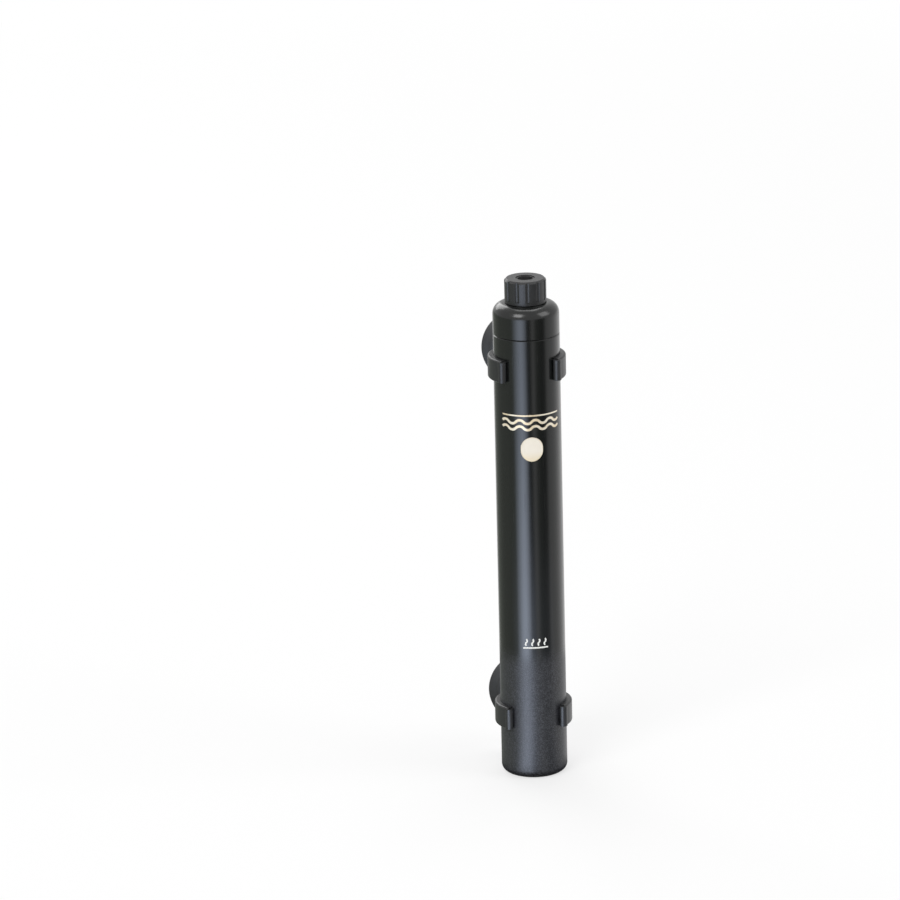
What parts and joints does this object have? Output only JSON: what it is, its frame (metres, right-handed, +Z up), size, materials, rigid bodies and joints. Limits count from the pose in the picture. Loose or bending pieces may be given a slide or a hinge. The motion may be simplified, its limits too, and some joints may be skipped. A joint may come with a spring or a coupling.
{
  "type": "submersible aquarium heater",
  "caption": "Slim round submersible aquarium heater: a black two-finish barrel with an indicator and cord gland, carried by sliding clips with suction cups.",
  "frame": {"origin": "centre of the flat base, on the barrel's axis", "axes": "+Z up the barrel to the cord gland, -Y the way the indicator looks, +Y towards the suction cups and the tank wall"},
  "size_m": [0.0308, 0.0408, 0.2032],
  "materials": {
    "gloss_barrel": "glossy black moulded plastic",
    "matt_guard": "black plastic with a fine spark-eroded texture",
    "clip_plastic": "satin black moulded plastic",
    "cup_rubber": "soft black rubber, smooth with a faint bloom",
    "seal_rubber": "black rubber",
    "lens_cream": "cream diffusing plastic",
    "clear_glass": "clear borosilicate glass",
    "silicone": "translucent silicone",
    "stopper_rubber": "grey rubber",
    "resin": "dark potting resin",
    "steatite": "unglazed cream ceramic",
    "fibre": "pressed ceramic fibre",
    "resistance_wire": "oxidised resistance wire",
    "lead_sleeving": "glass-braid sleeving",
    "board_green": "solder mask on glass-fibre board",
    "component_black": "black moulded epoxy",
    "film_box": "amber dipped film",
    "resistor_lacquer": "tan lacquer",
    "cutout_case": "bare metal case",
    "led_red": "red clear epoxy",
    "spacer_white": "white plastic",
    "crimp_brass": "plain brass"
  },
  "bodies": {
    "heater": {"lower_guard": "matt_guard", "outer_sleeve": "gloss_barrel", "top_cap": "gloss_barrel", "gland_nut": "clip_plastic", "gland_seal": "seal_rubber", "indicator_lens": "lens_cream", "guard_o_ring": "seal_rubber", "cap_o_ring": "seal_rubber", "lens_gasket": "seal_rubber", "glass_tube": "clear_glass", "glass_stopper": "stopper_rubber", "bottom_pad": "silicone", "lower_centring_ring": "silicone", "upper_centring_ring": "silicone", "potting_resin": "resin", "fibre_cushion": "fibre", "ceramic_core": "steatite", "heating_coil": "resistance_wire", "coil_leads": "lead_sleeving", "heat_shield": "steatite", "fibre_plug": "fibre", "circuit_board": "board_green", "indicator_led": "led_red", "led_spacer": "spacer_white", "triac": "component_black", "film_capacitor": "film_box", "control_chip": "component_black", "resistors": "resistor_lacquer", "thermistor": "component_black", "thermal_cutout": "cutout_case", "supply_leads": "lead_sleeving", "crimp_splices": "crimp_brass"},
    "lower_clip": {"lower_clip": "clip_plastic"},
    "upper_clip": {"upper_clip": "clip_plastic"},
    "lower_cup": {"lower_suction_cup": "cup_rubber"},
    "upper_cup": {"upper_suction_cup": "cup_rubber"}
  },
  "joints": [
    {"name": "lower_clip_slide", "type": "slide", "parent": "heater", "child": "lower_clip", "axis": [0, 0, 1], "range_m": [-0.008, 0.052]},
    {"name": "upper_clip_slide", "type": "slide", "parent": "heater", "child": "upper_clip", "axis": [0, 0, 1], "range_m": [-0.06, 0.008]},
    {"name": "lower_cup_spin", "type": "hinge", "parent": "lower_clip", "child": "lower_cup", "pos_m": [0, 0.019, 0.025], "axis": [0, 1, 0], "continuous": true},
    {"name": "upper_cup_spin", "type": "hinge", "parent": "upper_clip", "child": "upper_cup", "pos_m": [0, 0.019, 0.168], "axis": [0, 1, 0], "continuous": true}
  ]
}
